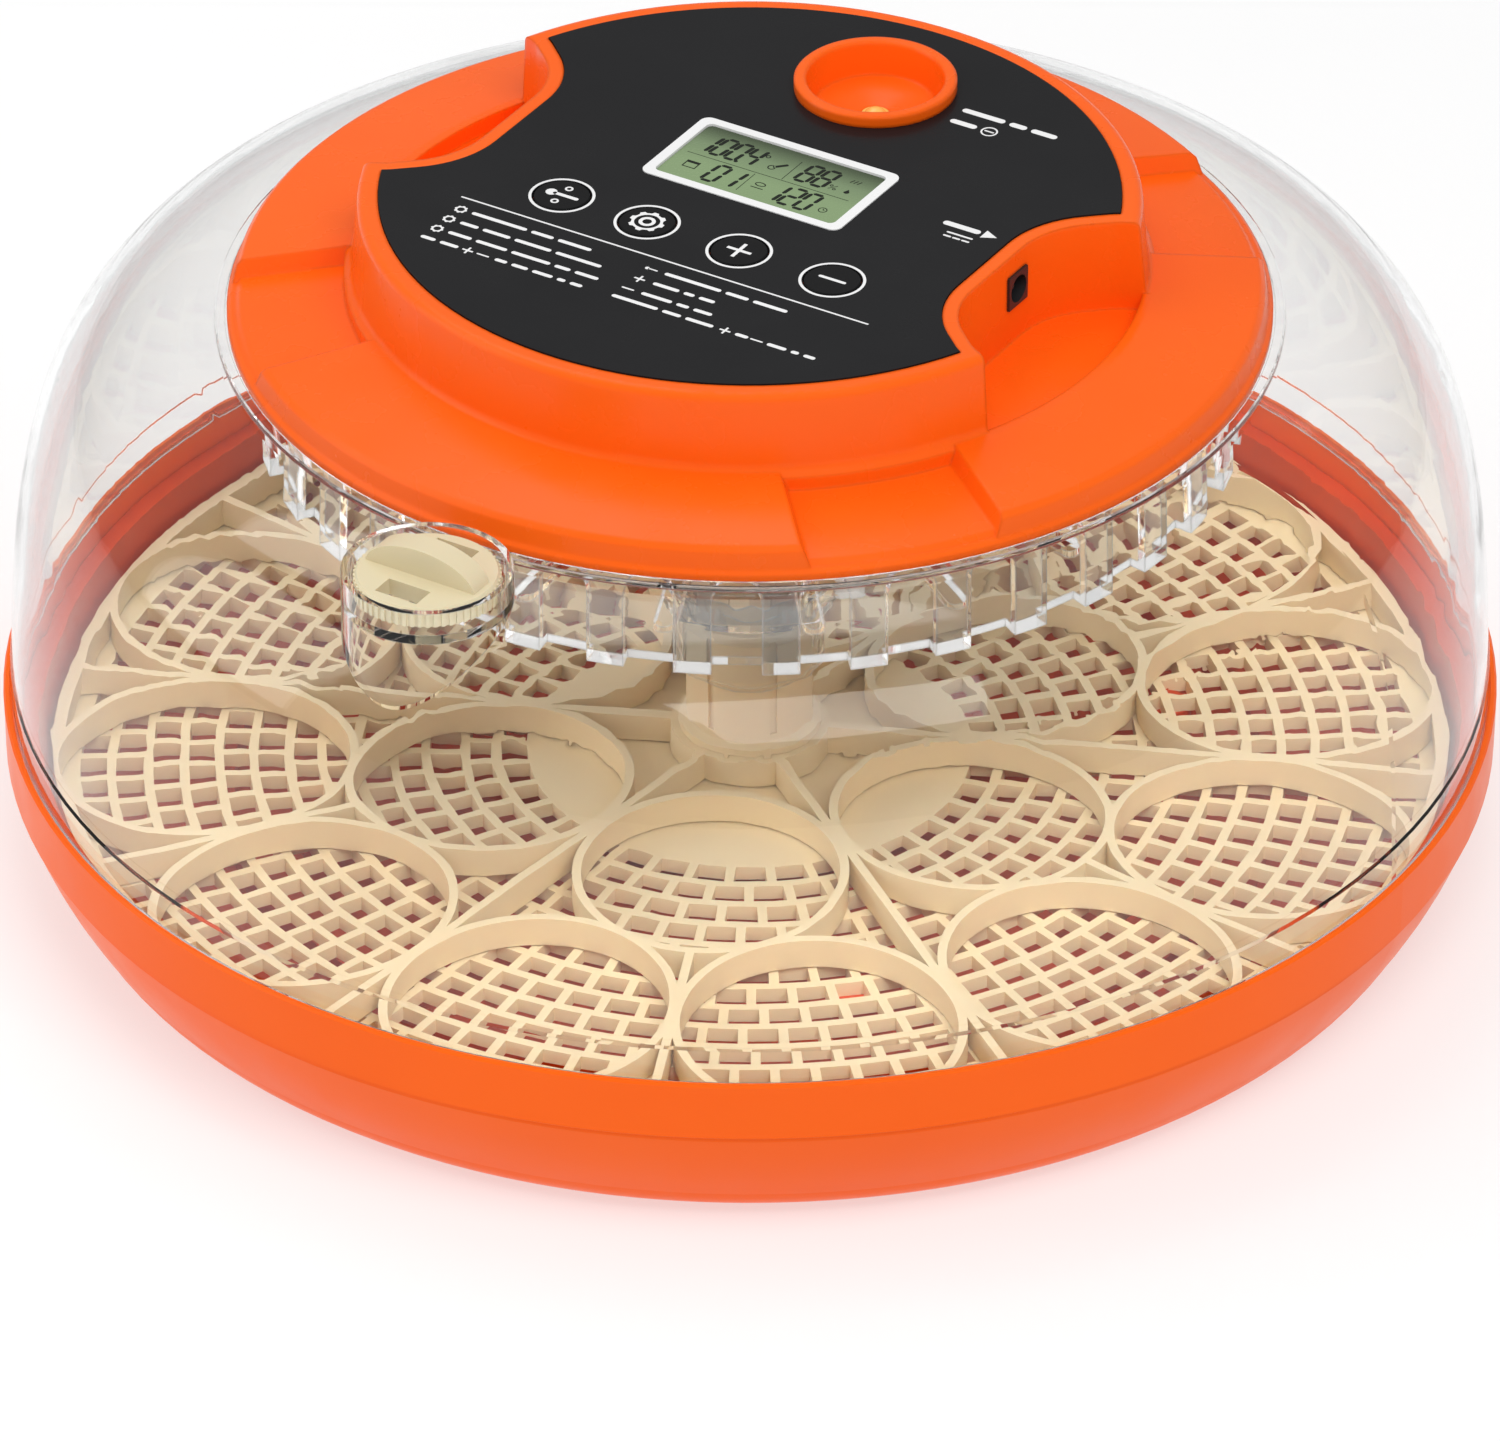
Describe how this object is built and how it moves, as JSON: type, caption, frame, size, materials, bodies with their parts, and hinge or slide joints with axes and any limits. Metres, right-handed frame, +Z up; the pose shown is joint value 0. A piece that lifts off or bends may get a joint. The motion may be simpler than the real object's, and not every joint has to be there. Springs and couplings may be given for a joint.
{
  "type": "egg incubator",
  "caption": "Round countertop egg incubator: orange base with lattice floor and turning divider, clear lift-off dome with control head, vent knob and candler.",
  "frame": {"origin": "on the supporting surface, under the middle of the base, level with the underside of the feet", "axes": "+Z up along the axis of the round base and dome; the panel reads upright from -Y, the power socket faces +X and the vent boss is on the -Y side"},
  "size_m": [0.3, 0.3, 0.1523],
  "materials": {
    "orange_abs": "satin",
    "orange_pan": "satin",
    "cream_pp": "satin",
    "clear_ps": "clear",
    "black_overlay": "satin",
    "button_black": "satin",
    "white_plastic": "satin",
    "lcd_green": "gloss",
    "grey_plastic": "satin",
    "pcb_green": "satin",
    "chip_black": "matte",
    "steel": "satin",
    "nickel": "bright",
    "rubber_black": "matte",
    "ceramic_white": "matte",
    "led_lens": "gloss",
    "motor_zinc": "satin"
  },
  "bodies": {
    "base": {"base_shell": "orange_abs", "water_pan": "orange_pan", "lattice_floor": "cream_pp", "rubber_feet": "rubber_black", "base_screws": "steel", "pivot_pin": "steel"},
    "egg_turner": {"egg_divider": "cream_pp", "divider_hub": "cream_pp"},
    "lid": {"dome": "clear_ps", "head_cover": "orange_abs", "head_plate": "white_plastic", "control_panel": "black_overlay", "display_bezel": "white_plastic", "display_glass": "lcd_green", "display_backlight": "grey_plastic", "display_board": "pcb_green", "button_switches": "chip_black", "candler_cup": "orange_abs", "candler_led": "led_lens", "power_socket": "chip_black", "socket_pin": "nickel", "air_guard": "clear_ps", "head_screws": "steel", "turning_motor": "motor_zinc", "motor_screws": "steel", "fan_motor": "motor_zinc", "heater_ring": "steel", "heater_posts": "ceramic_white", "climate_sensor": "white_plastic", "main_board": "pcb_green", "board_parts": "chip_black", "buzzer": "chip_black"},
    "turner_shaft": {"drive_shaft": "cream_pp"},
    "fan": {"fan_impeller": "white_plastic"},
    "vent": {"vent_knob": "cream_pp", "vent_screw": "steel"},
    "temp_key": {"button_temp": "button_black"},
    "set_key": {"button_set": "button_black"},
    "plus_key": {"button_plus": "button_black"},
    "minus_key": {"button_minus": "button_black"}
  },
  "joints": [
    {"name": "lid_lift", "type": "slide", "parent": "base", "child": "lid", "axis": [0, 0, 1], "range_m": [0, 0.15]},
    {"name": "divider_turn", "type": "hinge", "parent": "base", "child": "egg_turner", "pos_m": [0, 0, 0.03], "axis": [0, 0, 1], "continuous": true},
    {"name": "shaft_turn", "type": "hinge", "parent": "lid", "child": "turner_shaft", "pos_m": [0, 0, 0.1], "axis": [0, 0, 1], "continuous": true},
    {"name": "fan_spin", "type": "hinge", "parent": "lid", "child": "fan", "pos_m": [-0.04, 0, 0.1135], "axis": [0, 0, 1], "continuous": true},
    {"name": "vent_turn", "type": "hinge", "parent": "lid", "child": "vent", "pos_m": [0.002, -0.1208, 0.1255], "axis": [0, 0, 1], "range_deg": [0, 90]},
    {"name": "temp_press", "type": "slide", "parent": "lid", "child": "temp_key", "axis": [0, 0, -1], "range_m": [0, 0.0008], "stiffness_N_per_m": 900},
    {"name": "set_press", "type": "slide", "parent": "lid", "child": "set_key", "axis": [0, 0, -1], "range_m": [0, 0.0008], "stiffness_N_per_m": 900},
    {"name": "plus_press", "type": "slide", "parent": "lid", "child": "plus_key", "axis": [0, 0, -1], "range_m": [0, 0.0008], "stiffness_N_per_m": 900},
    {"name": "minus_press", "type": "slide", "parent": "lid", "child": "minus_key", "axis": [0, 0, -1], "range_m": [0, 0.0008], "stiffness_N_per_m": 900}
  ],
  "couplings": [
    {"joint": "shaft_turn", "follows": "divider_turn", "ratio": 1}
  ]
}
